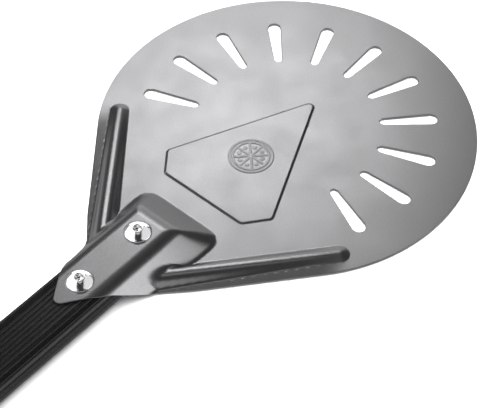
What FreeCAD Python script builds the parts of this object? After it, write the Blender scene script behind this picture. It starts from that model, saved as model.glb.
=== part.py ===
import FreeCAD
import Part

import math
import os

# Pizza peel: a pressed, slotted metal blade screwed over a fluted handle tube.
# Millimetres. The origin is the centre of the round head, in the plane the peel rests on.
# +Y points from the handle to the head's far rim, +X to the right, +Z up.

V = FreeCAD.Vector
ORIGIN = V(0, 0, 0)
ALONG_X = V(1, 0, 0)
ALONG_Y = V(0, 1, 0)
UP = V(0, 0, 1)

# Head
HEAD_RADIUS = 101.6
SHEET = 1.3
EDGE_ANGLE = 40.0            # straight side edges, measured from the Y axis
NECK_AT = 64.0               # along the side edge, where it starts to turn in
WAIST_HALF_WIDTH = 24.4      # where the sides reach the saddle's flanks
WAIST_Y = -127.1
SHOULDER_HALF_WIDTH = 13.0   # where the flanks' edges reach the tang's point
SHOULDER_Y = -153.9
TANG_TIP_Y = -172.8
TANG_TIP_RADIUS = 3.5

# Slots, widening towards the rim
SLOT_COUNT = 11
SLOT_PITCH = 22.5
SLOT_INNER_AT = 52.4
SLOT_OUTER_AT = 78.0
SLOT_INNER_RADIUS = 2.2
SLOT_OUTER_RADIUS = 3.65

# Raised arrowhead panel: apex, two shoulders, two heels
PANEL_RISE = 0.6
PANEL_STEP_WIDTH = 1.2
PANEL_APEX_Y = 23.4
PANEL_SHOULDER_HALF_WIDTH = 35.6
PANEL_SHOULDER_Y = -54.9
PANEL_HEEL_HALF_WIDTH = 25.9
PANEL_HEEL_Y = -67.1
PANEL_CORNER_RADIUS = 2.0

# Stiffening beads along the side edges; they rise towards the saddle
BEAD_START = -10.0           # along the edge, from the point where it leaves the rim
BEAD_END = 92.5
BEAD_INNER_FOOT = 16.8       # both foot lines are measured square to the edge
BEAD_START_FOOT = 5.6
BEAD_END_FOOT = 0.9
BEAD_START_RISE = 1.6
BEAD_END_RISE = 6.2
BEAD_TOP_FLAT = 0.3          # half the width of the flat along the top
BEAD_CREST_RADIUS = 4.6
BEAD_FOOT_RADIUS = 2.2

# Handle tube
TUBE_WIDTH = 31.0
TUBE_HEIGHT = 15.0
TUBE_WALL = 1.5
TUBE_FRONT_Y = -104.5
TUBE_REAR_Y = -668.4
FLUTE_COUNT = 8              # on each flat, and again round each side
FLUTE_PITCH = 2.4
FLUTE_RADIUS = 0.7
FLUTE_DEPTH = 0.35

# Saddle over the tube
SADDLE_FIT = 0.05            # clearance over the tube
CLOSE_ENOUGH = 0.05          # for telling edges apart
SADDLE_FRONT_Y = -70.0
SADDLE_REAR_Y = -180.0
SADDLE_FRONT_SLOPE = 45.0
SADDLE_REAR_SLOPE = 63.0
SADDLE_FOOT_RADIUS = 2.5
RAMP_FOOT_Y = -81.3
RAMP_TOP_Y = -101.6
RAMP_FOOT_RADIUS = 2.5
RAMP_CREST_RADIUS = 13.0

# M8 screws with low button heads and hexagon sockets
SCREW_PLACES = {"front_screw": -114.3, "rear_screw": -154.2}
SCREW_RADIUS = 3.97
SCREW_LENGTH = 12.0
SCREW_TIP_CHAMFER = 0.8
SCREW_HOLE_RADIUS = 4.2
SCREW_HEAD_RADIUS = 7.0
SCREW_HEAD_HEIGHT = 3.6
SCREW_RIM_HEIGHT = 0.8
SCREW_DOME_RADIUS = 9.2
SOCKET_ACROSS = 4.0
SOCKET_DEPTH = 2.2

# M8 nuts held in the insert
NUT_PLACES = {"front_nut": -114.3, "rear_nut": -154.2}
NUT_ACROSS = 13.0
NUT_THICKNESS = 6.5
NUT_TOP_Z = 11.1
NUT_CHAMFER_ANGLE = 30.0
NUT_BORE_RADIUS = 4.0

# Insert in the tube's front end
INSERT_FIT = 0.1
INSERT_REAR_Y = -169.0
POCKET_FIT = 0.1

# End cap with its hanging hole
CAP_FIT = 0.1
CAP_END_Y = -698.4
CAP_PLUG_LENGTH = 26.0
CAP_PLUG_CHAMFER = 1.0
CAP_ROUNDING = 7.0
HANG_HOLE_RADIUS = 5.0
HANG_HOLE_ROUNDING = 1.5

# Dependent values
TUBE_MID_Z = TUBE_HEIGHT / 2
TUBE_FLAT_HALF = TUBE_WIDTH / 2 - TUBE_MID_Z
SADDLE_CREST_RADIUS = TUBE_MID_Z + SADDLE_FIT + SHEET
SADDLE_TOP_Z = TUBE_MID_Z + SADDLE_CREST_RADIUS
BELOW = -20.0                # well under every underside
ABOVE = 40.0                 # well over every top


def mirrored(shape):
    """The same shape on the other side of the peel's middle plane."""
    return shape.mirror(ORIGIN, ALONG_X)


def line(a, b):
    return Part.LineSegment(a, b).toShape()


def arc(a, b, c):
    return Part.Arc(a, b, c).toShape()


def prism(edges, run):
    """A solid swept straight along run from a closed flat outline."""
    return Part.Face(Part.Wire(edges)).extrude(run)


def cylinder(radius, x, y, z_low, z_high):
    return Part.makeCylinder(radius, z_high - z_low, V(x, y, z_low), UP)


# Outline, slots and panel

def edge_directions():
    """The right side edge's run towards the handle, and the way in from it."""
    angle = math.radians(EDGE_ANGLE)
    along = V(-math.sin(angle), -math.cos(angle), 0)
    inward = V(-math.cos(angle), math.sin(angle), 0)
    return along, inward


def rim_end():
    """Where the right side edge leaves the round rim."""
    _, inward = edge_directions()
    return inward * -HEAD_RADIUS


def outline_edges():
    """The blade from above: rim, side edges, flank edges and the rounded tang."""
    along, _ = edge_directions()
    start = rim_end()
    neck = start + along * NECK_AT
    waist = V(WAIST_HALF_WIDTH, WAIST_Y, 0)
    shoulder = V(SHOULDER_HALF_WIDTH, SHOULDER_Y, 0)
    tip = V(0, TANG_TIP_Y, 0)
    side = (shoulder - tip).normalize()
    half_angle = side.getAngle(ALONG_Y)
    point_end = tip + side * (TANG_TIP_RADIUS / math.tan(half_angle))
    point_low = tip + ALONG_Y * (TANG_TIP_RADIUS / math.sin(half_angle) - TANG_TIP_RADIUS)
    corners = [start, neck, waist, shoulder, point_end]
    right = [line(a, b) for a, b in zip(corners, corners[1:])]
    rim = arc(start, V(0, HEAD_RADIUS, 0), V(-start.x, start.y, 0))
    point = arc(point_end, point_low, V(-point_end.x, point_end.y, 0))
    loop = [rim, point] + right + [mirrored(edge) for edge in right]
    return Part.sortEdges(loop)[0]


def slot_tool(angle):
    """The cutter for one slot: two round ends and their common tangents."""
    span = SLOT_OUTER_AT - SLOT_INNER_AT
    lean = math.asin((SLOT_OUTER_RADIUS - SLOT_INNER_RADIUS) / span)
    right = V(math.cos(lean), -math.sin(lean), 0)
    left = V(-right.x, right.y, 0)
    inner = V(0, SLOT_INNER_AT, 0)
    outer = V(0, SLOT_OUTER_AT, 0)
    a = inner + right * SLOT_INNER_RADIUS
    b = outer + right * SLOT_OUTER_RADIUS
    c = outer + left * SLOT_OUTER_RADIUS
    d = inner + left * SLOT_INNER_RADIUS
    outer_end = arc(b, outer + ALONG_Y * SLOT_OUTER_RADIUS, c)
    inner_end = arc(d, inner - ALONG_Y * SLOT_INNER_RADIUS, a)
    tool = prism([line(a, b), outer_end, line(c, d), inner_end], UP * ABOVE)
    tool.translate(UP * BELOW)
    tool.rotate(ORIGIN, UP, angle)
    return tool


def panel_loop(growth, z):
    """The arrowhead with rounded corners, grown outwards by the given amount."""
    corners = [V(0, PANEL_APEX_Y, z),
               V(-PANEL_SHOULDER_HALF_WIDTH, PANEL_SHOULDER_Y, z),
               V(-PANEL_HEEL_HALF_WIDTH, PANEL_HEEL_Y, z),
               V(PANEL_HEEL_HALF_WIDTH, PANEL_HEEL_Y, z),
               V(PANEL_SHOULDER_HALF_WIDTH, PANEL_SHOULDER_Y, z)]
    radius = PANEL_CORNER_RADIUS + growth
    ends = []
    for i, corner in enumerate(corners):
        to_last = (corners[i - 1] - corner).normalize()
        to_next = (corners[(i + 1) % len(corners)] - corner).normalize()
        half_angle = to_last.getAngle(to_next) / 2
        bisector = (to_last + to_next).normalize()
        centre = corner + bisector * (PANEL_CORNER_RADIUS / math.sin(half_angle))
        run = PANEL_CORNER_RADIUS / math.tan(half_angle)
        first = centre + (corner + to_last * run - centre).normalize() * radius
        last = centre + (corner + to_next * run - centre).normalize() * radius
        ends.append((first, centre - bisector * radius, last))
    edges = []
    for i, (first, middle, last) in enumerate(ends):
        edges.append(arc(first, middle, last))
        edges.append(line(last, ends[(i + 1) % len(ends)][0]))
    return Part.Wire(edges)


def panel_block(inset):
    """The raised panel over the sheet's top, or with an inset of SHEET, its hollow."""
    # each face of a sheet this gently stepped is the same step, moved down by the sheet
    base_z = SHEET - inset
    growth = PANEL_STEP_WIDTH - inset * PANEL_RISE / PANEL_STEP_WIDTH
    base = panel_loop(growth, base_z)
    top = panel_loop(growth - PANEL_STEP_WIDTH, base_z + PANEL_RISE)
    step = Part.makeLoft([base, top], True, True)
    root = Part.Face(base).extrude(UP * (BELOW if inset else -SHEET / 2))
    return step.fuse(root)


# Pressed forms: crest arc, straight flank and foot arc, each side of a middle line

def pressed_section(flat_half, crest_z, crest_radius, foot_at, foot_radius, slope, inset, place):
    """Closed section of a pressed form; inset moves it in from the top of the sheet.

    place turns (distance from the middle line, height) into a point of the model.
    """
    crest = crest_radius - inset
    foot = foot_radius + inset
    crest_centre_z = crest_z - crest_radius
    foot_centre_z = SHEET + foot_radius

    def on_crest(angle):
        return flat_half + crest * math.sin(angle), crest_centre_z + crest * math.cos(angle)

    def on_foot(angle):
        return foot_at - foot * math.sin(angle), foot_centre_z - foot * math.cos(angle)

    def left(point):
        return place(-point[0], point[1])

    def right(point):
        return place(point[0], point[1])

    def side(at):
        flank = line(at(on_crest(slope)), at(on_foot(slope)))
        foot_arc = arc(at(on_foot(slope)), at(on_foot(slope / 2)), at(on_foot(0)))
        drop = line(at(on_foot(0)), at((foot_at, BELOW)))
        return [flank, foot_arc, drop]

    top = [arc(left(on_crest(slope)), left(on_crest(slope / 2)), left(on_crest(0))),
           line(left(on_crest(0)), right(on_crest(0))),
           arc(right(on_crest(0)), right(on_crest(slope / 2)), right(on_crest(slope)))]
    bottom = line(right((foot_at, BELOW)), left((foot_at, BELOW)))
    return Part.Wire(Part.sortEdges(top + side(left) + side(right) + [bottom])[0])


def saddle_station(y, slope_degrees, inset):
    """The saddle's section at one place along the handle."""
    slope = math.radians(slope_degrees)
    drop = SHEET + SADDLE_FOOT_RADIUS - TUBE_MID_Z
    reach = SADDLE_CREST_RADIUS + SADDLE_FOOT_RADIUS - drop * math.cos(slope)
    foot_at = TUBE_FLAT_HALF + reach / math.sin(slope)
    return pressed_section(TUBE_FLAT_HALF, SADDLE_TOP_Z, SADDLE_CREST_RADIUS, foot_at,
                           SADDLE_FOOT_RADIUS, slope, inset, lambda u, w: V(u, y, w))


def ramp_block(inset):
    """Everything under the plateau and its front ramp, across the whole blade."""
    slope = math.atan2(SADDLE_TOP_Z - SHEET, RAMP_FOOT_Y - RAMP_TOP_Y)
    crest = RAMP_CREST_RADIUS - inset
    foot = RAMP_FOOT_RADIUS + inset
    crest_y = RAMP_TOP_Y - RAMP_CREST_RADIUS * math.tan(slope / 2)
    foot_y = RAMP_FOOT_Y + RAMP_FOOT_RADIUS * math.tan(slope / 2)
    x = -HEAD_RADIUS

    def on_crest(angle):
        return V(x, crest_y + crest * math.sin(angle),
                 SADDLE_TOP_Z - RAMP_CREST_RADIUS + crest * math.cos(angle))

    def on_foot(angle):
        return V(x, foot_y - foot * math.sin(angle),
                 SHEET + RAMP_FOOT_RADIUS - foot * math.cos(angle))

    back_top = V(x, SADDLE_REAR_Y, on_crest(0).z)
    back_low = V(x, SADDLE_REAR_Y, BELOW)
    front_low = V(x, foot_y, BELOW)
    return prism([line(back_top, on_crest(0)),
                  arc(on_crest(0), on_crest(slope / 2), on_crest(slope)),
                  line(on_crest(slope), on_foot(slope)),
                  arc(on_foot(slope), on_foot(slope / 2), on_foot(0)),
                  line(on_foot(0), front_low),
                  line(front_low, back_low),
                  line(back_low, back_top)], ALONG_X * 2 * HEAD_RADIUS)


def saddle_block(inset):
    """The saddle's form, closed by its ramp at the front."""
    front = saddle_station(SADDLE_FRONT_Y, SADDLE_FRONT_SLOPE, inset)
    rear = saddle_station(SADDLE_REAR_Y, SADDLE_REAR_SLOPE, inset)
    body = Part.makeLoft([front, rear], True, True)
    return body.common(ramp_block(inset))


def bead_numbers(along_edge):
    """Middle line's distance from the edge, half width, rise and slope of a bead's section."""
    part = (along_edge - BEAD_START) / (BEAD_END - BEAD_START)
    outer_foot = BEAD_START_FOOT + part * (BEAD_END_FOOT - BEAD_START_FOOT)
    rise = BEAD_START_RISE + part * (BEAD_END_RISE - BEAD_START_RISE)
    middle = (BEAD_INNER_FOOT + outer_foot) / 2
    half_width = (BEAD_INNER_FOOT - outer_foot) / 2
    radii = BEAD_CREST_RADIUS + BEAD_FOOT_RADIUS
    span = half_width - BEAD_TOP_FLAT
    reach = math.hypot(span, radii - rise)
    slope = math.asin(radii / reach) - math.atan2(radii - rise, span)
    return middle, half_width, rise, slope


def bead_station(along_edge, inset):
    """A bead's section at one place along the edge, and the middle line's point there."""
    along, inward = edge_directions()
    middle, half_width, rise, slope = bead_numbers(along_edge)
    foot = rim_end() + along * along_edge + inward * middle
    section = pressed_section(BEAD_TOP_FLAT, SHEET + rise, BEAD_CREST_RADIUS, half_width, BEAD_FOOT_RADIUS,
                              slope, inset, lambda u, w: foot + inward * u + UP * w)
    return section, foot


def bead_block(inset):
    """The right bead's form, with its round outer end."""
    along, inward = edge_directions()
    start, start_foot = bead_station(BEAD_START, inset)
    end, _ = bead_station(BEAD_END, inset)
    body = Part.makeLoft([start, end], True, True)
    # the round end is half the start section, spun half a turn about its middle line
    size = HEAD_RADIUS
    corners = [start_foot + along * a + inward * b + UP * -size
               for a, b in ((-size, 0), (size, 0), (size, size), (-size, size))]
    inward_side = prism([line(corners[i - 1], corners[i]) for i in range(4)], UP * 2 * size)
    half_section = Part.Face(start).common(inward_side)
    return body.fuse(half_section.revolve(start_foot, UP, -180))


def make_blade():
    outline = prism(outline_edges(), UP * (ABOVE - BELOW))
    outline.translate(UP * BELOW)
    sheet = prism(outline_edges(), UP * SHEET)
    outer = sheet.fuse([saddle_block(0), bead_block(0), mirrored(bead_block(0)), panel_block(0)])
    hollow = [saddle_block(SHEET), bead_block(SHEET), mirrored(bead_block(SHEET)),
              panel_block(SHEET)]
    first_slot = -SLOT_PITCH * (SLOT_COUNT - 1) / 2
    slots = [slot_tool(first_slot + SLOT_PITCH * i) for i in range(SLOT_COUNT)]
    holes = [cylinder(SCREW_HOLE_RADIUS, 0, y, BELOW, ABOVE) for y in SCREW_PLACES.values()]
    under = Part.makeBox(4 * HEAD_RADIUS, 4 * HEAD_RADIUS, -BELOW,
                         V(-2 * HEAD_RADIUS, -3 * HEAD_RADIUS, BELOW))
    blade = outer.common(outline).cut([under] + hollow + slots + holes)
    return blade.removeSplitter()


# Handle

def obround_edges(half_width, half_height, y):
    """A flat-sided oval round the tube's middle, in the plane of the given y."""
    flat = half_width - half_height
    low = TUBE_MID_Z - half_height
    high = TUBE_MID_Z + half_height
    a = V(-flat, y, high)
    b = V(flat, y, high)
    c = V(flat, y, low)
    d = V(-flat, y, low)
    return [line(a, b), arc(b, V(half_width, y, TUBE_MID_Z), c), line(c, d),
            arc(d, V(-half_width, y, TUBE_MID_Z), a)]


def flute_centres():
    """Where the flutes' round cutters go: along both flats and round both sides."""
    distance = TUBE_MID_Z + FLUTE_RADIUS - FLUTE_DEPTH
    last_on_flat = FLUTE_PITCH * (FLUTE_COUNT - 1) / 2
    places = []
    for i in range(FLUTE_COUNT):
        x = -last_on_flat + FLUTE_PITCH * i
        if abs(x) <= TUBE_FLAT_HALF:
            places.append((x, distance))
            places.append((x, -distance))
    lead = (last_on_flat - TUBE_FLAT_HALF) / TUBE_MID_Z
    steps = FLUTE_COUNT + 1
    for i in range(steps + 1):
        angle = lead + (math.pi - 2 * lead) * i / steps
        x = TUBE_FLAT_HALF + distance * math.sin(angle)
        places.append((x, distance * math.cos(angle)))
        places.append((-x, distance * math.cos(angle)))
    return places


def make_handle_tube():
    y = TUBE_FRONT_Y
    outer = Part.Face(Part.Wire(obround_edges(TUBE_WIDTH / 2, TUBE_MID_Z, y)))
    bore = Part.Face(Part.Wire(obround_edges(TUBE_WIDTH / 2 - TUBE_WALL,
                                             TUBE_MID_Z - TUBE_WALL, y)))
    flutes = []
    for x, rise in flute_centres():
        circle = Part.Circle(V(x, y, TUBE_MID_Z + rise), ALONG_Y, FLUTE_RADIUS)
        flutes.append(Part.Face(Part.Wire(circle.toShape())))
    section = outer.cut(flutes + [bore])
    tube = section.extrude(ALONG_Y * (TUBE_REAR_Y - TUBE_FRONT_Y))
    holes = [cylinder(SCREW_HOLE_RADIUS, 0, hole_y, TUBE_MID_Z, ABOVE)
             for hole_y in SCREW_PLACES.values()]
    return tube.cut(holes)


def make_tube_insert():
    half_width = TUBE_WIDTH / 2 - TUBE_WALL - INSERT_FIT
    half_height = TUBE_MID_Z - TUBE_WALL - INSERT_FIT
    block = prism(obround_edges(half_width, half_height, TUBE_FRONT_Y),
                  ALONG_Y * (INSERT_REAR_Y - TUBE_FRONT_Y))
    tools = []
    for y in NUT_PLACES.values():
        tools.append(cylinder(SCREW_HOLE_RADIUS, 0, y, 0, ABOVE))
        tools.append(hexagon(NUT_ACROSS + 2 * POCKET_FIT, y, 0, NUT_TOP_Z))
    return block.cut(tools)


def make_end_cap():
    """A rounded plug with a body of the tube's size, pierced by the hanging hole."""
    half_width = TUBE_WIDTH / 2
    centre_y = CAP_END_Y + half_width
    front_right = V(half_width, TUBE_REAR_Y, 0)
    front_left = V(-half_width, TUBE_REAR_Y, 0)
    side_right = V(half_width, centre_y, 0)
    side_left = V(-half_width, centre_y, 0)
    body = prism([line(front_left, front_right), line(front_right, side_right),
                  arc(side_right, V(0, CAP_END_Y, 0), side_left),
                  line(side_left, front_left)], UP * TUBE_HEIGHT)
    long_edges = [edge for edge in body.Edges
                  if edge.BoundBox.ZLength < CLOSE_ENOUGH and edge.BoundBox.YLength > CLOSE_ENOUGH]
    body = body.makeFillet(CAP_ROUNDING, long_edges)
    body = body.cut(cylinder(HANG_HOLE_RADIUS, 0, centre_y, BELOW, ABOVE))
    rims = [edge for edge in body.Edges
            if isinstance(edge.Curve, Part.Circle)
            and abs(edge.Curve.Radius - HANG_HOLE_RADIUS) < CLOSE_ENOUGH]
    body = body.makeFillet(HANG_HOLE_ROUNDING, rims)
    plug = prism(obround_edges(half_width - TUBE_WALL - CAP_FIT,
                               TUBE_MID_Z - TUBE_WALL - CAP_FIT, TUBE_REAR_Y),
                 ALONG_Y * CAP_PLUG_LENGTH)
    plug_rim = [edge for edge in plug.Edges
                if edge.BoundBox.YMin > TUBE_REAR_Y + CAP_PLUG_LENGTH / 2]
    plug = plug.makeChamfer(CAP_PLUG_CHAMFER, plug_rim)
    return body.fuse(plug).removeSplitter()


# Fasteners

def hexagon(across, y, z_low, z_high):
    """A hexagonal prism about a vertical axis, two flats facing along the handle."""
    corner_radius = across / math.sqrt(3)
    corners = [V(corner_radius * math.cos(math.radians(60 * i)),
                 y + corner_radius * math.sin(math.radians(60 * i)), z_low) for i in range(6)]
    return prism([line(corners[i - 1], corners[i]) for i in range(6)], UP * (z_high - z_low))


def make_screw(y):
    """A button-head screw standing on the saddle's flat."""
    seat = SADDLE_TOP_Z
    dome_centre_z = SCREW_RIM_HEIGHT - math.sqrt(SCREW_DOME_RADIUS ** 2
                                                 - SCREW_HEAD_RADIUS ** 2)

    def dome_at(height):
        return math.sqrt(SCREW_DOME_RADIUS ** 2 - (height - dome_centre_z) ** 2)

    def at(radius, height):
        return V(radius, y, seat + height)

    crown = dome_at(SCREW_HEAD_HEIGHT)
    middle_height = (SCREW_RIM_HEIGHT + SCREW_HEAD_HEIGHT) / 2
    rim_low = at(SCREW_HEAD_RADIUS, 0)
    rim_high = at(SCREW_HEAD_RADIUS, SCREW_RIM_HEIGHT)
    crown_edge = at(crown, SCREW_HEAD_HEIGHT)
    tip_radius = SCREW_RADIUS - SCREW_TIP_CHAMFER
    chain = [at(0, -SCREW_LENGTH), at(tip_radius, -SCREW_LENGTH),
             at(SCREW_RADIUS, SCREW_TIP_CHAMFER - SCREW_LENGTH), at(SCREW_RADIUS, 0),
             rim_low, rim_high]
    edges = [line(chain[i], chain[i + 1]) for i in range(len(chain) - 1)]
    edges.append(arc(rim_high, at(dome_at(middle_height), middle_height), crown_edge))
    edges.append(line(crown_edge, at(0, SCREW_HEAD_HEIGHT)))
    edges.append(line(at(0, SCREW_HEAD_HEIGHT), at(0, -SCREW_LENGTH)))
    body = Part.Face(Part.Wire(edges)).revolve(V(0, y, 0), UP, 360)
    socket_floor = seat + SCREW_HEAD_HEIGHT - SOCKET_DEPTH
    return body.cut(hexagon(SOCKET_ACROSS, y, socket_floor, ABOVE))


def make_nut(y):
    """A hexagon nut with turned-off corners at both ends."""
    low = NUT_TOP_Z - NUT_THICKNESS
    prism_part = hexagon(NUT_ACROSS, y, low, NUT_TOP_Z)
    corner_radius = NUT_ACROSS / math.sqrt(3)
    flat_radius = NUT_ACROSS / 2
    cut_height = (corner_radius - flat_radius) * math.tan(math.radians(NUT_CHAMFER_ANGLE))
    lower = Part.makeCone(flat_radius, corner_radius, cut_height, V(0, y, low), UP)
    middle = cylinder(corner_radius, 0, y, low + cut_height, NUT_TOP_Z - cut_height)
    upper = Part.makeCone(corner_radius, flat_radius, cut_height,
                          V(0, y, NUT_TOP_Z - cut_height), UP)
    blank = lower.fuse([middle, upper]).removeSplitter()
    return prism_part.common(blank).cut(cylinder(NUT_BORE_RADIUS, 0, y, low, NUT_TOP_Z))


def make_parts():
    parts = {
        "blade": make_blade(),
        "handle_tube": make_handle_tube(),
        "tube_insert": make_tube_insert(),
        "end_cap": make_end_cap(),
    }
    for name, y in SCREW_PLACES.items():
        parts[name] = make_screw(y)
    for name, y in NUT_PLACES.items():
        parts[name] = make_nut(y)
    return parts


def main():
    os.makedirs("parts", exist_ok=True)
    for name, shape in make_parts().items():
        solids = shape.Solids
        if len(solids) != 1 or not shape.isValid():
            print("check", name, len(solids), "solids, valid:", shape.isValid())
        solids[0].exportStep(os.path.join("parts", name + ".step"))


main()
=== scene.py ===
import math

import bpy
import numpy as np
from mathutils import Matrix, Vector
from mathutils.geometry import delaunay_2d_cdt


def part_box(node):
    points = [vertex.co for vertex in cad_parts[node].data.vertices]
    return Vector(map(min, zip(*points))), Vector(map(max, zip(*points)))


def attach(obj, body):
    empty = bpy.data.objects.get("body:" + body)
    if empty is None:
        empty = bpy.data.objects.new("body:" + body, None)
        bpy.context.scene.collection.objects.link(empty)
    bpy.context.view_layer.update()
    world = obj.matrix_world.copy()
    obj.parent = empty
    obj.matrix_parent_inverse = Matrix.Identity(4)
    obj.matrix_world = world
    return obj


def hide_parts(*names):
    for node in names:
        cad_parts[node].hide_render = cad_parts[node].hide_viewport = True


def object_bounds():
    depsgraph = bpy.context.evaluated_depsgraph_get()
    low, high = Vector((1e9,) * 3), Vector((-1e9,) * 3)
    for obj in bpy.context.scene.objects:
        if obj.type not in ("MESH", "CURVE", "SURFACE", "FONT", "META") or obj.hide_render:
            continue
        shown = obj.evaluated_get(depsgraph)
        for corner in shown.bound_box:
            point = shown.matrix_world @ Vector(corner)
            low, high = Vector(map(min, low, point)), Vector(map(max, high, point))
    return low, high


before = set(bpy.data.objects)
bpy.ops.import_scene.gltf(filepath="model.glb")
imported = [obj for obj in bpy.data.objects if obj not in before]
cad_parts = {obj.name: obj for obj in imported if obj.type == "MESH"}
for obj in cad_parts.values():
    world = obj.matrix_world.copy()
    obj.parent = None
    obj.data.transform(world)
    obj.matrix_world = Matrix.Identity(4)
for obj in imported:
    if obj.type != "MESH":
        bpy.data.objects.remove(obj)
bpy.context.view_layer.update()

# Looks of a turning pizza peel: pressed satin blade, chrome screws, fluted black handle.
# The blade's forms are worked out in millimetres and turned into metres by MM.
MM = 0.001

# Sheet and outline
HEAD_RADIUS = 101.6
SHEET = 1.3
EDGE_ANGLE = math.radians(40.0)
NECK_AT = 64.0                # along the side edge, where it starts to turn in
WAIST = (24.4, -127.1)
SHOULDER = (13.0, -153.9)
TANG_TIP_Y = -172.8
TANG_TIP_RADIUS = 3.5
EDGE_ROUND = 0.3              # broken edge along every cut
EDGE_STEPS = 3

# Slots
SLOT_COUNT = 11
SLOT_PITCH = math.radians(22.5)
SLOT_INNER_AT = 52.4
SLOT_OUTER_AT = 78.0
SLOT_INNER_RADIUS = 2.2
SLOT_OUTER_RADIUS = 3.65

# Raised panel and its low-relief mark
PANEL_RISE = 0.6
PANEL_STEP = 1.2
PANEL_ROUNDING = 2.0
PANEL_CORNERS = ((0.0, 23.4), (-35.6, -54.9), (-25.9, -67.1), (25.9, -67.1), (35.6, -54.9))
MARK_CENTRE = (0.0, -29.5)
MARK_RADIUS = 11.5
MARK_CRUST_RADIUS = 9.6
MARK_SLICES = 8
MARK_LINE = 0.45
MARK_RISE = 0.1
MARK_DOT_AT = 6.4
MARK_DOT_RADIUS = 1.0

# Beads along the side edges
BEAD_START = -10.0
BEAD_END = 92.5
BEAD_INNER_FOOT = 16.8
BEAD_OUTER_FOOT = (5.6, 0.9)  # at the bead's start and at its end
BEAD_TOP_FLAT = 0.3
BEAD_RISE = (1.6, 6.2)        # at the bead's start and at its end
BEAD_CREST_RADIUS = 4.6
BEAD_FOOT_RADIUS = 2.2
BEAD_BLEND = 3.0              # how softly a bead runs into the saddle's flank
MARGIN_LEAN = math.tan(math.radians(6.5))
MARGIN_FADE = (-15.0, 5.0)    # along the side edge, where the lean of its margin sets in

# Saddle
TUBE_HEIGHT = 15.0
TUBE_WIDTH = 31.0
SADDLE_FIT = 0.05
SADDLE_ENDS_Y = (-70.0, -180.0)
SADDLE_SLOPES = (math.radians(45.0), math.radians(63.0))    # at those two ends
RAMP_FOOT_Y = -81.3
RAMP_TOP_Y = -101.6
RAMP_CREST_RADIUS = 13.0
PRESS_FOOT_RADIUS = 2.5
CORNER_POWER = 1.7            # how squarely the ramp turns into the flanks at the top
CORNER_POWER_GAIN = 2.6       # what it gains by the foot
TUBE_MID = TUBE_HEIGHT / 2
TUBE_FLAT_HALF = TUBE_WIDTH / 2 - TUBE_MID
SADDLE_CREST_RADIUS = TUBE_MID + SADDLE_FIT + SHEET
SADDLE_RISE = TUBE_MID + SADDLE_CREST_RADIUS - SHEET

# Screws and their holes
SCREWS = ("front_screw", "rear_screw")
SCREW_HOLE_RADIUS = 4.2
SCREW_SHANK_RADIUS = 3.97
SCREW_TIP_CHAMFER = 0.8
SCREW_RIM = 0.8
SCREW_RIM_STEPS = 5
SCREW_DOME = 9.2
SCREW_DOME_STEPS = 14
SCREW_CROWN_ROUND = 0.2
CROWN_MIDWAY = (0.3, 0.12)    # out and down to the rounding's middle, in roundings
SCREW_SIDES = 120
SOCKET_ACROSS = 4.0
SOCKET_MOUTH = 2.42
SOCKET_DEPTH = 2.2
SOCKET_CHAMFER = (0.15, 0.35, 0.55)   # widening at the mouth, then the depths it spans
SOCKET_FLOOR_CHAMFER = (0.3, 0.2)     # narrowing at the floor, and its height
SOCKET_DRILL = (0.6, 0.5)             # radius and depth of the drilled point

# Mesh spacing
TINY = 1e-6
LEAST_DROP = 0.001
NORMAL_STEP = 0.02
LOOP_SPACING = 0.9
TIP_SPACING = 0.4
SLOT_SPACINGS = (0.5, 0.6)    # round a slot's inner and outer ends
FINE_SPACING = 0.8
COARSE_LEVELS = 3
LATTICE_SPAN = (2.1, 2.8)     # width and length that the lattice covers, in head radii
LATTICE_GAP = 0.7             # least distance from a cut edge
LATTICE_ROOM = 0.7            # the same on the sparser levels, in spacings
LATTICE_BAND = 3              # width of each sparser level along the cuts, in spacings
FLAT_NORMAL = 0.99999
FLAT_REACH = 1.5
FLAT_CHANGE = 0.002
STEP_MARGIN = 0.8
STEP_ROWS = 8
STEP_OVERRUN = 0.5
STEP_SPACINGS = (1.2, 1.6)    # round the panel's corners and along its sides
MARK_SPACING = 0.36
MARK_STRETCH = 1.3
MARK_OVERRUN = 1.6
MARK_MARGIN = 2
HOLE_MARGIN = 1
JOIN_DISTANCE = 1e-5


# Forms of the sheet: every function returns heights above the flat sheet's top

def smooth_step(low, high, value):
    part = np.clip((value - low) / (high - low), 0, 1)
    return part * part * (3 - 2 * part)


def smooth_min(a, b, width):
    width = np.maximum(width, TINY)
    mix = np.clip(0.5 + 0.5 * (b - a) / width, 0, 1)
    return b * (1 - mix) + a * mix - width * mix * (1 - mix)


def smooth_max(a, b, width):
    return -smooth_min(-a, -b, width)


def edge_coordinates(x, y):
    """Distance along the nearer side edge from the rim, and square to it, inwards."""
    along = (-math.sin(EDGE_ANGLE), -math.cos(EDGE_ANGLE))
    inward = (-math.cos(EDGE_ANGLE), math.sin(EDGE_ANGLE))
    across = np.abs(x) + inward[0] * HEAD_RADIUS
    up = y + inward[1] * HEAD_RADIUS
    return across * along[0] + up * along[1], across * inward[0] + up * inward[1]


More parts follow.
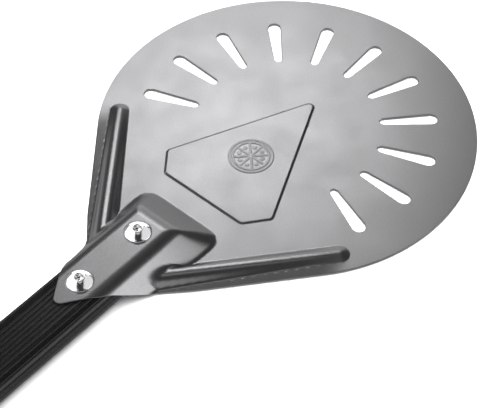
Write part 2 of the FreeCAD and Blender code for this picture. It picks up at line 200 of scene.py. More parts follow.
def bead_height(x, y):
    """A flat-topped ridge with tangent foot fillets, higher towards the saddle."""
    s, d = edge_coordinates(x, y)
    part = np.clip((s - BEAD_START) / (BEAD_END - BEAD_START), 0, 1)
    outer_foot = BEAD_OUTER_FOOT[0] + part * (BEAD_OUTER_FOOT[1] - BEAD_OUTER_FOOT[0])
    rise = BEAD_RISE[0] + part * (BEAD_RISE[1] - BEAD_RISE[0])
    middle = (BEAD_INNER_FOOT + outer_foot) / 2
    half = (BEAD_INNER_FOOT - outer_foot) / 2 - BEAD_TOP_FLAT
    past_end = np.minimum(s - BEAD_START, 0) + np.maximum(s - BEAD_END, 0)
    reach = np.maximum(np.hypot(past_end, d - middle) - BEAD_TOP_FLAT, 0)
    radii = BEAD_CREST_RADIUS + BEAD_FOOT_RADIUS
    slope = np.arcsin(radii / np.hypot(half, radii - rise)) - np.arctan2(radii - rise, half)
    crest_end = BEAD_CREST_RADIUS * np.sin(slope)
    foot_start = half - BEAD_FOOT_RADIUS * np.sin(slope)
    crest = rise - BEAD_CREST_RADIUS + round_part(BEAD_CREST_RADIUS, reach)
    foot = BEAD_FOOT_RADIUS - round_part(BEAD_FOOT_RADIUS, half - reach)
    flank_top = rise - BEAD_CREST_RADIUS * (1 - np.cos(slope))
    flank = flank_top - (reach - crest_end) * np.tan(slope)
    height = np.where(reach < crest_end, crest, np.where(reach < foot_start, flank, foot))
    # the strip outside the bead leans outwards a little
    beside = np.clip((BEAD_INNER_FOOT - d) / (BEAD_INNER_FOOT - outer_foot), 0, 1)
    lift = MARGIN_LEAN * np.clip(d, 0, outer_foot) * beside * smooth_step(*MARGIN_FADE, s)
    return np.where(reach < half, height, 0) + lift


def round_part(radius, offset):
    """Height of a circle of the given radius above its centre, at an offset from it."""
    return np.sqrt(np.maximum(radius ** 2 - np.minimum(np.abs(offset), radius) ** 2, 0))


def saddle_height(x, y):
    """The form over the tube: flat top, shoulders round the tube, flanks and front ramp."""
    reach = np.abs(x) - TUBE_FLAT_HALF
    part = (y - SADDLE_ENDS_Y[0]) / (SADDLE_ENDS_Y[1] - SADDLE_ENDS_Y[0])
    slope = SADDLE_SLOPES[0] + part * (SADDLE_SLOPES[1] - SADDLE_SLOPES[0])
    centre = TUBE_MID - SHEET
    shoulder_end = SADDLE_CREST_RADIUS * np.sin(slope)
    shoulder = centre + round_part(SADDLE_CREST_RADIUS, np.maximum(reach, 0))
    flank = centre + (SADDLE_CREST_RADIUS - reach * np.sin(slope)) / np.cos(slope)
    across = np.where(reach < shoulder_end, shoulder, flank)

    ramp_slope = math.atan2(SADDLE_RISE, RAMP_FOOT_Y - RAMP_TOP_Y)
    crest_y = RAMP_TOP_Y - RAMP_CREST_RADIUS * math.tan(ramp_slope / 2)
    ahead = y - crest_y
    crest = SADDLE_RISE - RAMP_CREST_RADIUS + round_part(RAMP_CREST_RADIUS, np.maximum(ahead, 0))
    ramp = (RAMP_FOOT_Y - y) * math.tan(ramp_slope)
    lengthwise = np.where(ahead < RAMP_CREST_RADIUS * math.sin(ramp_slope), crest, ramp)

    # the corner where ramp meets flank is widely rounded at the top and tighter at the foot
    side_drop = SADDLE_RISE - across
    front_drop = SADDLE_RISE - lengthwise
    deeper = np.maximum(np.maximum(side_drop, front_drop), LEAST_DROP)
    lesser = np.minimum(side_drop, front_drop)
    power = CORNER_POWER + CORNER_POWER_GAIN * np.clip(deeper / SADDLE_RISE, 0, 1)
    body = SADDLE_RISE - deeper * (1 + (lesser / deeper) ** power) ** (1 / power)
    # foot fillet: its blend follows from the flank's own slope
    steep = np.where(across < lengthwise, np.tan(slope), math.tan(ramp_slope))
    foot = PRESS_FOOT_RADIUS * np.tan(np.arctan(steep) / 2) * steep
    return smooth_max(body, 0 * body, foot)


def polygon_distance(x, y, corners):
    """Signed distance to a closed convex outline, negative inside."""
    nearest = np.full(np.shape(x), np.inf)
    outside = np.full(np.shape(x), -np.inf)
    count = len(corners)
    for i in range(count):
        (ax, ay), (bx, by) = corners[i], corners[(i + 1) % count]
        length = math.hypot(bx - ax, by - ay)
        tx, ty = (bx - ax) / length, (by - ay) / length
        run = np.clip((x - ax) * tx + (y - ay) * ty, 0, length)
        nearest = np.minimum(nearest, np.hypot(x - ax - run * tx, y - ay - run * ty))
        outside = np.maximum(outside, (x - ax) * ty - (y - ay) * tx)
    return np.where(outside < 0, -nearest, nearest)


def inset_polygon(corners, inset):
    """The same counter-clockwise convex outline, moved inwards all round."""
    points = [Vector(corner) for corner in corners]
    moved = []
    for i, point in enumerate(points):
        last = (points[i - 1] - point).normalized()
        after = (points[(i + 1) % len(points)] - point).normalized()
        half_angle = last.angle(after) / 2
        moved.append(tuple(point + (last + after).normalized() * inset / math.sin(half_angle)))
    return moved


PANEL_CORE = inset_polygon(PANEL_CORNERS, PANEL_ROUNDING)


def panel_distance(x, y):
    return polygon_distance(x, y, PANEL_CORE) - PANEL_ROUNDING


def mark_height(x, y):
    """A plain round cut-pizza sign in low relief: rim, crust line, cuts and dots."""
    dx, dy = x - MARK_CENTRE[0], y - MARK_CENTRE[1]
    radius = np.hypot(dx, dy)
    sector = 2 * math.pi / MARK_SLICES
    turn = np.mod(np.arctan2(dy, dx) + sector / 2, sector) - sector / 2
    cut = np.where(radius < MARK_CRUST_RADIUS, np.abs(radius * np.sin(turn)), np.inf)
    half_turn = np.mod(np.arctan2(dy, dx), sector) - sector / 2
    dot = np.hypot(radius * np.cos(half_turn) - MARK_DOT_AT, radius * np.sin(half_turn))
    line = np.minimum(np.minimum(np.abs(radius - MARK_RADIUS), np.abs(radius - MARK_CRUST_RADIUS)),
                      np.minimum(cut, np.abs(dot - MARK_DOT_RADIUS / 2)))
    return MARK_RISE * (1 - smooth_step(0, 2 * MARK_LINE, line))


def sheet_height(x, y):
    saddle = saddle_height(x, y)
    bead = bead_height(x, y)
    blend = BEAD_BLEND * smooth_step(0, BEAD_BLEND, np.minimum(saddle, bead))
    panel = PANEL_RISE * (1 - smooth_step(0, PANEL_STEP, panel_distance(x, y)))
    return smooth_max(saddle, bead, blend) + panel + mark_height(x, y)


def sheet_normal(x, y):
    step = NORMAL_STEP
    slope_x = (sheet_height(x + step, y) - sheet_height(x - step, y)) / (2 * step)
    slope_y = (sheet_height(x, y + step) - sheet_height(x, y - step)) / (2 * step)
    normal = np.stack([-slope_x, -slope_y, np.ones_like(slope_x)], -1)
    return normal / np.linalg.norm(normal, axis=-1, keepdims=True)


# Closed loops of the cut edges, each with the solid on its left

def arc_points(centre, radius, start, end, spacing=LOOP_SPACING):
    steps = max(3, math.ceil(abs(end - start) * radius / spacing))
    turn = np.linspace(start, end, steps + 1)[:-1]
    return np.stack([centre[0] + radius * np.cos(turn), centre[1] + radius * np.sin(turn)], -1)


def line_points(a, b, spacing=LOOP_SPACING):
    a, b = np.array(a), np.array(b)
    steps = max(1, math.ceil(np.linalg.norm(b - a) / spacing))
    return a + (b - a) * (np.arange(steps) / steps)[:, None]


def side_corners():
    """The right side's corners: end of the rim, neck, waist and shoulder."""
    start = (HEAD_RADIUS * math.cos(EDGE_ANGLE), -HEAD_RADIUS * math.sin(EDGE_ANGLE))
    neck = (start[0] - NECK_AT * math.sin(EDGE_ANGLE), start[1] - NECK_AT * math.cos(EDGE_ANGLE))
    return [start, neck, WAIST, SHOULDER]


def outline_loop():
    """The rim, side edges, flank edges and pointed tang, counter-clockwise."""
    half_angle = math.atan2(SHOULDER[0], SHOULDER[1] - TANG_TIP_Y)
    centre = (0.0, TANG_TIP_Y + TANG_TIP_RADIUS / math.sin(half_angle))
    run = TANG_TIP_RADIUS / math.tan(half_angle)
    tip_end = (run * math.sin(half_angle), TANG_TIP_Y + run * math.cos(half_angle))
    right = side_corners() + [tip_end]
    left = [(-x, y) for x, y in right]
    return np.concatenate([
        arc_points((0, 0), HEAD_RADIUS, -EDGE_ANGLE, math.pi + EDGE_ANGLE),
        *[line_points(a, b) for a, b in zip(left, left[1:])],
        arc_points(centre, TANG_TIP_RADIUS, math.pi + half_angle, 2 * math.pi - half_angle,
                   TIP_SPACING),
        *[line_points(b, a) for a, b in reversed(list(zip(right, right[1:])))],
    ])


def slot_loop(index):
    """One radial slot, clockwise, so that the solid is on its left."""
    lean = math.asin((SLOT_OUTER_RADIUS - SLOT_INNER_RADIUS) / (SLOT_OUTER_AT - SLOT_INNER_AT))
    inner, outer = (0, SLOT_INNER_AT), (0, SLOT_OUTER_AT)
    a = (SLOT_INNER_RADIUS * math.cos(lean), SLOT_INNER_AT - SLOT_INNER_RADIUS * math.sin(lean))
    b = (SLOT_OUTER_RADIUS * math.cos(lean), SLOT_OUTER_AT - SLOT_OUTER_RADIUS * math.sin(lean))
    loop = np.concatenate([
        line_points(a, b),
        arc_points(outer, SLOT_OUTER_RADIUS, -lean, math.pi + lean, SLOT_SPACINGS[1]),
        line_points((-b[0], b[1]), (-a[0], a[1])),
        arc_points(inner, SLOT_INNER_RADIUS, math.pi + lean, 2 * math.pi - lean, SLOT_SPACINGS[0]),
    ])[::-1]
    turn = (index - (SLOT_COUNT - 1) / 2) * SLOT_PITCH
    spin = np.array([[math.cos(turn), math.sin(turn)], [-math.sin(turn), math.cos(turn)]])
    return loop @ spin


def hole_at(node):
    """Where along the middle line a screw's hole is."""
    low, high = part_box(node)
    return (low.y + high.y) / 2 / MM


def hole_loop(y):
    return arc_points((0, y), SCREW_HOLE_RADIUS, 0, 2 * math.pi)[::-1]


def outward(loop):
    """The direction away from the solid at each point of a loop."""
    tangent = np.roll(loop, -1, 0) - np.roll(loop, 1, 0)
    tangent /= np.linalg.norm(tangent, axis=1, keepdims=True)
    return np.stack([tangent[:, 1], -tangent[:, 0]], -1)


def slot_clearance(x, y):
    """Distance outside the nearest slot, negative inside it."""
    turn = np.arctan2(-x, y)
    last = (SLOT_COUNT - 1) / 2
    index = np.clip(np.round(turn / SLOT_PITCH), -last, last)
    along = -x * np.sin(index * SLOT_PITCH) + y * np.cos(index * SLOT_PITCH)
    across = x * np.cos(index * SLOT_PITCH) + y * np.sin(index * SLOT_PITCH)
    part = np.clip((along - SLOT_INNER_AT) / (SLOT_OUTER_AT - SLOT_INNER_AT), 0, 1)
    radius = SLOT_INNER_RADIUS + part * (SLOT_OUTER_RADIUS - SLOT_INNER_RADIUS)
    centre = SLOT_INNER_AT + part * (SLOT_OUTER_AT - SLOT_INNER_AT)
    return np.hypot(across, along - centre) - radius


def outline_clearance(x, y):
    """Distance inside the blade's outline, negative outside it."""
    clearance = HEAD_RADIUS - np.hypot(x, y)
    corners = side_corners() + [(0.0, TANG_TIP_Y)]
    for (ax, ay), (bx, by) in zip(corners, corners[1:]):
        across = (by - ay) * (np.abs(x) - ax) - (bx - ax) * (y - ay)
        clearance = np.where(y < ay, across / math.hypot(bx - ax, by - ay), clearance)
    return clearance


# Points between the cut edges

def lattice_points():
    """A triangular lattice, fine on the pressed forms and sparser on the flat."""
    rows = int(LATTICE_SPAN[1] * HEAD_RADIUS / (FINE_SPACING * math.sqrt(3) / 2))
    columns = int(LATTICE_SPAN[0] * HEAD_RADIUS / FINE_SPACING)
    i, j = np.meshgrid(np.arange(-columns // 2, columns // 2 + 1), np.arange(rows), indexing="ij")
    x = (i + 0.5 * (j % 2)) * FINE_SPACING
    y = HEAD_RADIUS - j * FINE_SPACING * math.sqrt(3) / 2
    clearance = np.minimum(outline_clearance(x, y), slot_clearance(x, y))
    reach = FLAT_REACH
    flat = sheet_normal(x, y)[..., 2] > FLAT_NORMAL
    for dx, dy in ((reach, 0), (-reach, 0), (0, reach), (0, -reach)):
        flat &= np.abs(sheet_height(x + dx, y + dy) - sheet_height(x, y)) < FLAT_CHANGE
    keep = ~flat & (clearance > LATTICE_GAP)
    for level in range(1, COARSE_LEVELS + 1):
        step = 2 ** level
        spacing = FINE_SPACING * step
        on_level = (i % step == 0) & (j % step == 0)
        room = clearance > (LATTICE_ROOM * spacing if level < COARSE_LEVELS else spacing)
        wanted = on_level & flat & room
        if level < COARSE_LEVELS:
            wanted &= clearance < LATTICE_BAND * spacing
        keep |= wanted
    near_mark = np.hypot(x - MARK_CENTRE[0], y - MARK_CENTRE[1]) < MARK_RADIUS + MARK_MARGIN
    near_step = np.abs(panel_distance(x, y) - PANEL_STEP / 2) < PANEL_STEP / 2 + STEP_MARGIN
    keep &= ~near_mark & ~near_step
    return np.stack([x[keep], y[keep]], -1)


def panel_points():
    """Rows of points along the panel's step."""
    rows = []
    for growth in np.linspace(-STEP_OVERRUN, PANEL_STEP + STEP_OVERRUN, STEP_ROWS):
        radius = PANEL_ROUNDING + growth
        count = len(PANEL_CORE)
        for k in range(count):
            here, after, last = (np.array(PANEL_CORE[n % count]) for n in (k, k + 1, k - 1))
            into, out = here - last, after - here
            start = math.atan2(into[1], into[0]) - math.pi / 2
            end = math.atan2(out[1], out[0]) - math.pi / 2
            end += 2 * math.pi * (end < start)
            side = radius * np.array([math.cos(end), math.sin(end)])
            rows.append(arc_points(here, radius, start, end, STEP_SPACINGS[0]))
            rows.append(line_points(here + side, after + side, STEP_SPACINGS[1]))
    return np.concatenate(rows)


def mark_points():
    """Rings of points over the low-relief mark."""
    rings = []
    for radius in np.arange(MARK_SPACING, MARK_RADIUS + MARK_OVERRUN, MARK_SPACING):
        rings.append(arc_points(MARK_CENTRE, radius, 0, 2 * math.pi, MARK_STRETCH * MARK_SPACING))
    return np.concatenate(rings)


def make_mesh(name, vertices, faces, normals, material):
    mesh = bpy.data.meshes.new(name)
    mesh.from_pydata((np.asarray(vertices) * MM).tolist(), [], faces)
    mesh.materials.append(material)
    mesh.polygons.foreach_set("use_smooth", [True] * len(mesh.polygons))
    mesh.validate()
    if normals is not None:
        mesh.normals_split_custom_set_from_vertices(np.asarray(normals).tolist())
    piece = bpy.data.objects.new(name, mesh)
    bpy.context.scene.collection.objects.link(piece)
    return piece


def triangulate(cuts, inset, inner):
    """Plan points from the inset cuts and the points between, and the solid's triangles."""
    plan = np.concatenate(inset + [inner])
    edges, first = [], 0
    for loop in inset:
        count = len(loop)
        edges += [(first + k, first + (k + 1) % count) for k in range(count)]
        first += count
    points = [Vector(point) for point in plan.tolist()]
    found = delaunay_2d_cdt(points, edges, [], 1, JOIN_DISTANCE, True)
    order = [ids[0] for ids in found[3]]
    triangles = np.array([[order[v] for v in face] for face in found[2]])
    middle = plan[triangles].mean(1)
    solid = (outline_clearance(*middle.T) > 0) & (slot_clearance(*middle.T) > 0)
    for loop in cuts[-len(SCREWS):]:
        solid &= np.hypot(*(middle - loop.mean(0)).T) > SCREW_HOLE_RADIUS
    triangles = triangles[solid]
    ab = plan[triangles[:, 1]] - plan[triangles[:, 0]]
    ac = plan[triangles[:, 2]] - plan[triangles[:, 0]]
    backwards = ab[:, 0] * ac[:, 1] - ab[:, 1] * ac[:, 0] < 0
    triangles[backwards] = triangles[backwards][:, ::-1]
    return plan, triangles


def make_blade(material):
    """The pressed sheet: one triangulation for both faces, joined by rounded cut edges."""
    holes = [hole_at(node) for node in SCREWS]
    cuts = [outline_loop()] + [slot_loop(i) for i in range(SLOT_COUNT)]
    cuts += [hole_loop(y) for y in holes]
    away = [outward(loop) for loop in cuts]
    inset = [loop - side * EDGE_ROUND for loop, side in zip(cuts, away)]
    inner = np.concatenate([lattice_points(), panel_points(), mark_points()])
    for y in holes:
        inner = inner[np.hypot(inner[:, 0], inner[:, 1] - y) > SCREW_HOLE_RADIUS + HOLE_MARGIN]
    plan, triangles = triangulate(cuts, inset, inner)

    normal = sheet_normal(plan[:, 0], plan[:, 1])
    top = np.column_stack([plan, SHEET + sheet_height(plan[:, 0], plan[:, 1])])
    bottom = top - normal * SHEET
    vertices = [top, bottom]
    normals = [normal, -normal]
    faces = triangles.tolist() + (triangles[:, ::-1] + len(plan)).tolist()

    # cut edges: rings from the top face's loop, round to the bottom face's loop
    total, first = 2 * len(plan), 0
    turns = [math.pi / 2 * k / EDGE_STEPS for k in range(1, EDGE_STEPS + 1)]
    profile = [(turn, 0) for turn in turns] + [(math.pi - turn, 1) for turn in reversed(turns)]
    for loop, side in zip(inset, away):
        count = len(loop)
        own = slice(first, first + count)
        up = normal[own]
        out = np.column_stack([side, np.zeros(count)])
        out -= (out * up).sum(1, keepdims=True) * up
        out /= np.linalg.norm(out, axis=1, keepdims=True)
        rings = [np.arange(first, first + count)]
        for turn, low in profile:
            drop = EDGE_ROUND * (1 - abs(math.cos(turn)))
            depth = SHEET - drop if low else drop
            vertices.append(top[own] + out * EDGE_ROUND * math.sin(turn) - up * depth)
            normals.append(out * math.sin(turn) + up * math.cos(turn))
            rings.append(np.arange(total, total + count))
            total += count
        rings.append(np.arange(first, first + count) + len(plan))
        for a, b in zip(rings, rings[1:]):
            faces += np.stack([a, b, np.roll(b, -1), np.roll(a, -1)], -1).tolist()
        first += count
    blade = make_mesh("blade_sheet", np.concatenate(vertices), faces,
                      np.concatenate(normals), material)
    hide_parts("blade")
    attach(blade, "root")
    return blade


# Screws

def ring_stack(name, rings, material):
    """A closed piece from rings of equally many points, from its foot to its top."""
    count = len(rings[0])
    faces = []
    for level in range(len(rings) - 1):
        low, high = level * count, (level + 1) * count
        for k in range(count):
            after = (k + 1) % count
            faces.append((low + k, low + after, high + after, high + k))
    faces.append(tuple(reversed(range(count))))
    faces.append(tuple(range((len(rings) - 1) * count, len(rings) * count)))
    return make_mesh(name, np.concatenate(rings), faces, None, material)


def make_screw(node, material):
    """A screw with a low domed head, rounded rim, socket chamfer and hexagonal socket."""
    low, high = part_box(node)
    middle = (low + high) / 2 / MM
    radius = (high.x - low.x) / 2 / MM
    seat = SHEET + SADDLE_RISE
    height = high.z / MM - seat
    top = seat + height
    turn = np.arange(SCREW_SIDES) * 2 * math.pi / SCREW_SIDES

    def ring(reach, z):
        return np.column_stack([middle.x + reach * np.cos(turn), middle.y + reach * np.sin(turn),
                                np.full(SCREW_SIDES, z)])

    def hexagon(across, z):
        sector = math.pi / 3
        return ring(across / 2 / np.cos(np.mod(turn, sector) - sector / 2), z)

    shank = SCREW_SHANK_RADIUS
    rings = [ring(shank - SCREW_TIP_CHAMFER, low.z / MM),
             ring(shank, low.z / MM + SCREW_TIP_CHAMFER), ring(shank, seat)]
    for angle in np.linspace(0, math.pi / 2, SCREW_RIM_STEPS):
        rings.append(ring(radius - SCREW_RIM / 2 * (1 - math.sin(angle)),
                          seat + SCREW_RIM / 2 * (1 - math.cos(angle))))

    # the dome, from the rim to the rounded edge of its flat crown
    centre_z = seat + SCREW_RIM - math.sqrt(SCREW_DOME ** 2 - radius ** 2)
    crown = math.sqrt(SCREW_DOME ** 2 - (seat + height - centre_z) ** 2)
    dome_start = math.acos(radius / SCREW_DOME)
    dome_end = math.acos((crown + SCREW_CROWN_ROUND) / SCREW_DOME)
    for angle in np.linspace(dome_start, dome_end, SCREW_DOME_STEPS):
        rings.append(ring(SCREW_DOME * math.cos(angle), centre_z + SCREW_DOME * math.sin(angle)))
    rings.append(ring(crown + SCREW_CROWN_ROUND * CROWN_MIDWAY[0],
                      top - SCREW_CROWN_ROUND * CROWN_MIDWAY[1]))
    rings.append(ring(crown - SCREW_CROWN_ROUND, top))

    # the socket, from its mouth down to the drilled point
    widening, chamfer_top, chamfer_end = SOCKET_CHAMFER
    narrowing, floor_rise = SOCKET_FLOOR_CHAMFER
    drill_radius, drill_depth = SOCKET_DRILL
    rings.append(ring(SOCKET_MOUTH, top))
    rings.append(hexagon(SOCKET_ACROSS + widening, top - chamfer_top))
    rings.append(hexagon(SOCKET_ACROSS, top - chamfer_end))
    rings.append(hexagon(SOCKET_ACROSS, top - SOCKET_DEPTH + floor_rise))
    rings.append(hexagon(SOCKET_ACROSS - narrowing, top - SOCKET_DEPTH))
    rings.append(ring(drill_radius, top - SOCKET_DEPTH - drill_depth))
    screw = ring_stack(node + "_turned", rings, material)
    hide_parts(node)
    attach(screw, "root")
    return screw


# Materials

def new_material(name, base_color, metallic, roughness):
    """A principled material; returns it with its node tree, shader and object coordinates."""
    material = bpy.data.materials.new(name)
    material.use_nodes = True
    tree = material.node_tree
    shader = tree.nodes["Principled BSDF"]
    shader.inputs["Base Color"].default_value = (*base_color, 1)
    shader.inputs["Metallic"].default_value = metallic
    shader.inputs["Roughness"].default_value = roughness
    coordinates = tree.nodes.new("ShaderNodeTexCoord").outputs["Object"]
    return material, tree, shader, coordinates


def noise(tree, coordinates, per_metre, detail=2.0, roughness=0.5):
    """Noise whose stretch is set by how many cells each axis has in a metre."""
    mapping = tree.nodes.new("ShaderNodeMapping")
    mapping.inputs["Scale"].default_value = per_metre
    texture = tree.nodes.new("ShaderNodeTexNoise")
    texture.inputs["Scale"].default_value = 1.0
    texture.inputs["Detail"].default_value = detail
    texture.inputs["Roughness"].default_value = roughness
    tree.links.new(coordinates, mapping.inputs["Vector"])
    tree.links.new(mapping.outputs["Vector"], texture.inputs["Vector"])
    return texture.outputs["Fac"]


def spread(tree, value, low, high, low_in=0.3, high_in=0.7):
    """A noise value stretched to a range."""
    node = tree.nodes.new("ShaderNodeMapRange")
    node.inputs["From Min"].default_value = low_in
    node.inputs["From Max"].default_value = high_in
    node.inputs["To Min"].default_value = low
    node.inputs["To Max"].default_value = high
    tree.links.new(value, node.inputs["Value"])
    return node.outputs["Result"]


def shade_colour(tree, value, dark, light, shader):
    """Base colour that wanders between two greys."""
    ramp = tree.nodes.new("ShaderNodeValToRGB")
    ramp.color_ramp.elements[0].position = 0.3
    ramp.color_ramp.elements[0].color = (*dark, 1)
    ramp.color_ramp.elements[1].position = 0.7
    ramp.color_ramp.elements[1].color = (*light, 1)
    tree.links.new(value, ramp.inputs["Fac"])
    tree.links.new(ramp.outputs["Color"], shader.inputs["Base Color"])


def bump(tree, height, distance, strength, shader, under=None):
    """Bump from a height; a second one can be laid over the first."""
    node = tree.nodes.new("ShaderNodeBump")
    node.inputs["Distance"].default_value = distance
    node.inputs["Strength"].default_value = strength
    tree.links.new(height, node.inputs["Height"])
    if under is not None:
        tree.links.new(under, node.inputs["Normal"])
    tree.links.new(node.outputs["Normal"], shader.inputs["Normal"])
    return node.outputs["Normal"]


def satin_sheet_material():
    """Bead-blasted steel sheet: fine grain, with faint clouds from handling."""
    material, tree, shader, place = new_material("satin_sheet", (0.55, 0.55, 0.56), 1.0, 0.31)
    grain = noise(tree, place, (1500, 1500, 1500), 3.0, 0.6)
    clouds = noise(tree, place, (38, 38, 38), 4.0, 0.6)
    shade_colour(tree, grain, (0.52, 0.52, 0.53), (0.62, 0.62, 0.63), shader)
    tree.links.new(spread(tree, clouds, 0.29, 0.34), shader.inputs["Roughness"])
    bump(tree, grain, 0.00003, 0.35, shader)
    return material


def chrome_material():
    """Polished chrome with the faintest waviness."""
    material, tree, shader, place = new_material("polished_chrome", (0.86, 0.86, 0.86), 1.0, 0.14)
    ripple = noise(tree, place, (180, 180, 180), 2.0)
    tree.links.new(spread(tree, ripple, 0.12, 0.17), shader.inputs["Roughness"])
    bump(tree, ripple, 0.00001, 0.1, shader)
    return material


def black_anodised_material():
    """Black anodised extrusion: die lines run along the tube."""
    material, tree, shader, place = new_material("black_anodised", (0.002, 0.002, 0.002), 0.0, 0.3)
    shader.inputs["Specular IOR Level"].default_value = 1.0
    lines = noise(tree, place, (2600, 9, 2600), 2.0)
    grain = noise(tree, place, (2200, 2200, 2200), 2.0)
    shade_colour(tree, lines, (0.001, 0.001, 0.001), (0.003, 0.003, 0.003), shader)
    tree.links.new(spread(tree, grain, 0.26, 0.32), shader.inputs["Roughness"])
    under = bump(tree, lines, 0.00002, 0.4, shader)
    bump(tree, grain, 0.00001, 0.3, shader, under)
    return material


def moulded_material(name, dark, light):
    """Moulded plastic with a fine spark-eroded texture."""
    material, tree, shader, place = new_material(name, dark, 0.0, 0.5)
    texture = noise(tree, place, (1800, 1800, 1800), 3.0, 0.6)
    shade_colour(tree, texture, dark, light, shader)
    tree.links.new(spread(tree, texture, 0.42, 0.6), shader.inputs["Roughness"])
    bump(tree, texture, 0.00006, 0.5, shader)
    return material


def zinc_material():
    """Zinc-plated nut with a slightly mottled passivated surface."""
    material, tree, shader, place = new_material("zinc_plate", (0.6, 0.6, 0.6), 1.0, 0.35)
    mottle = noise(tree, place, (600, 600, 600), 3.0)
    shade_colour(tree, mottle, (0.5, 0.5, 0.5), (0.66, 0.66, 0.65), shader)
    tree.links.new(spread(tree, mottle, 0.28, 0.45), shader.inputs["Roughness"])
    return material


def dress(node, material):
    """Gives a CAD node its material."""
    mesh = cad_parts[node].data
    mesh.materials.clear()
    mesh.materials.append(material)


# Stage

CAMERA_TARGET = Vector((0.0164, -0.0571, 0.0))
CAMERA_AZIMUTH = math.radians(41.0)
CAMERA_ELEVATION = math.radians(49.3)
CAMERA_DISTANCE = 0.7245
CAMERA_LENS = 106.1
CAMERA_SENSOR = 36.0
CAMERA_CLIP = (0.01, 100.0)
FLOOR_SIZE = 30.0
FLOOR_GAP = 0.0005            # the floor lies this far under the peel
LIGHT_DISTANCE = 2.5
TABLE_LEVEL = (0.34, 0.34, 0.34)
ROOM_LEVEL = (0.04, 0.04, 0.04)
TABLE_END = 0.47              # of the way from straight down to straight up
ROOM_START = 0.56


def direction(azimuth, elevation):
    """Unit vector towards a place; azimuth 0 is behind the handle, 90 on the right."""
    return Vector((math.sin(azimuth) * math.cos(elevation),
                   -math.cos(azimuth) * math.cos(elevation), math.sin(elevation)))


def aim(thing, target):
    thing.rotation_mode = "QUATERNION"
    thing.rotation_quaternion = (target - thing.location).to_track_quat("-Z", "Y")


def make_camera():
    camera = bpy.data.objects.new("camera", bpy.data.cameras.new("camera"))
    camera.location = CAMERA_TARGET + direction(CAMERA_AZIMUTH, CAMERA_ELEVATION) * CAMERA_DISTANCE
    aim(camera, CAMERA_TARGET)
    camera.data.lens = CAMERA_LENS
    camera.data.sensor_width = CAMERA_SENSOR
    camera.data.clip_start, camera.data.clip_end = CAMERA_CLIP
    bpy.context.scene.collection.objects.link(camera)
    bpy.context.scene.camera = camera


def make_softbox(name, azimuth, elevation, width, height, radiance, glossy=True, only=None):
    """A rectangular soft light aimed at the head, its place and size given in degrees as seen
    from there. With only, it lights that collection and nothing else."""
    light = bpy.data.lights.new(name, "AREA")
    light.shape = "RECTANGLE"
    light.size = 2 * LIGHT_DISTANCE * math.tan(math.radians(width) / 2)
    light.size_y = 2 * LIGHT_DISTANCE * math.tan(math.radians(height) / 2)
    light.energy = radiance * math.pi * light.size * light.size_y
    lamp = bpy.data.objects.new(name, light)
    lamp.location = direction(math.radians(azimuth), math.radians(elevation)) * LIGHT_DISTANCE
    aim(lamp, Vector((0, 0, 0)))
    lamp.visible_glossy = glossy
    lamp.light_linking.receiver_collection = only
    bpy.context.scene.collection.objects.link(lamp)


def make_floor():
    """A plain pale floor with an even, barely mottled surface."""
    half = FLOOR_SIZE / 2
    mesh = bpy.data.meshes.new("floor")
    mesh.from_pydata([(-half, -half, 0), (half, -half, 0), (half, half, 0), (-half, half, 0)],
                     [], [(0, 1, 2, 3)])
    material, tree, shader, place = new_material("pale_floor", (0.9, 0.9, 0.9), 0.0, 0.8)
    mottle = noise(tree, place, (3, 3, 3))
    shade_colour(tree, mottle, (0.88, 0.88, 0.88), (0.92, 0.92, 0.92), shader)
    shader.inputs["Specular IOR Level"].default_value = 0.1
    mesh.materials.append(material)
    floor = bpy.data.objects.new("floor", mesh)
    floor.location.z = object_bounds()[0].z - FLOOR_GAP
    floor.visible_glossy = False
    bpy.context.scene.collection.objects.link(floor)


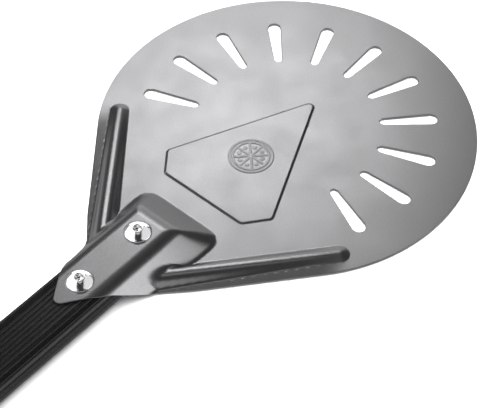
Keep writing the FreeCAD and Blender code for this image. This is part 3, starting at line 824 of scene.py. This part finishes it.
def make_world():
    """A dim room over a mid-grey table top, which is what polished faces see."""
    world = bpy.data.worlds.new("studio")
    world.use_nodes = True
    tree = world.node_tree
    coordinates = tree.nodes.new("ShaderNodeTexCoord")
    separate = tree.nodes.new("ShaderNodeSeparateXYZ")
    ramp = tree.nodes.new("ShaderNodeValToRGB")
    level = tree.nodes.new("ShaderNodeMapRange")
    level.inputs["From Min"].default_value = -1.0
    level.inputs["From Max"].default_value = 1.0
    ramp.color_ramp.elements[0].position = TABLE_END
    ramp.color_ramp.elements[0].color = (*TABLE_LEVEL, 1)
    ramp.color_ramp.elements[1].position = ROOM_START
    ramp.color_ramp.elements[1].color = (*ROOM_LEVEL, 1)
    tree.links.new(coordinates.outputs["Generated"], separate.inputs["Vector"])
    tree.links.new(separate.outputs["Z"], level.inputs["Value"])
    tree.links.new(level.outputs["Result"], ramp.inputs["Fac"])
    tree.links.new(ramp.outputs["Color"], tree.nodes["Background"].inputs["Color"])
    bpy.context.scene.world = world


def main():
    satin = satin_sheet_material()
    chrome = chrome_material()
    make_blade(satin)
    screws = bpy.data.collections.new("screws")
    for node in SCREWS:
        screws.objects.link(make_screw(node, chrome))
    dress("handle_tube", black_anodised_material())
    dress("tube_insert", moulded_material("insert_plastic", (0.1, 0.1, 0.1), (0.14, 0.14, 0.14)))
    dress("end_cap", moulded_material("cap_plastic", (0.02, 0.02, 0.021), (0.035, 0.035, 0.037)))
    zinc = zinc_material()
    dress("front_nut", zinc)
    dress("rear_nut", zinc)
    make_camera()
    make_world()
    make_floor()
    make_softbox("key", 223.5, 46, 18, 12, 2.6)
    make_softbox("low", 217, 12, 40, 40, 0.38)
    make_softbox("front", 4, 28, 40, 34, 0.4)
    # low and on the handle's side, so that the blade isn't dark when seen from beyond its rim
    make_softbox("behind", 45, 9, 60, 18, 0.45)
    make_softbox("zenith", 0, 88, 20, 20, 0.5)
    make_softbox("right", 114, 8, 40, 22, 1.25)
    make_softbox("left", 300, 20, 50, 36, 0.6)
    make_softbox("overhead", 0, 89, 70, 70, 5.5, glossy=False)
    # linked to the screws alone: these three brighten the plating and light nothing else
    make_softbox("screws_left", 300, 42, 116, 64, 1.3, only=screws)
    make_softbox("screws_right", 140, 40, 90, 60, 0.8, only=screws)
    make_softbox("screws_back", 221, 8, 60, 36, 1.5, only=screws)
    bpy.context.scene.view_settings.view_transform = "Standard"


main()
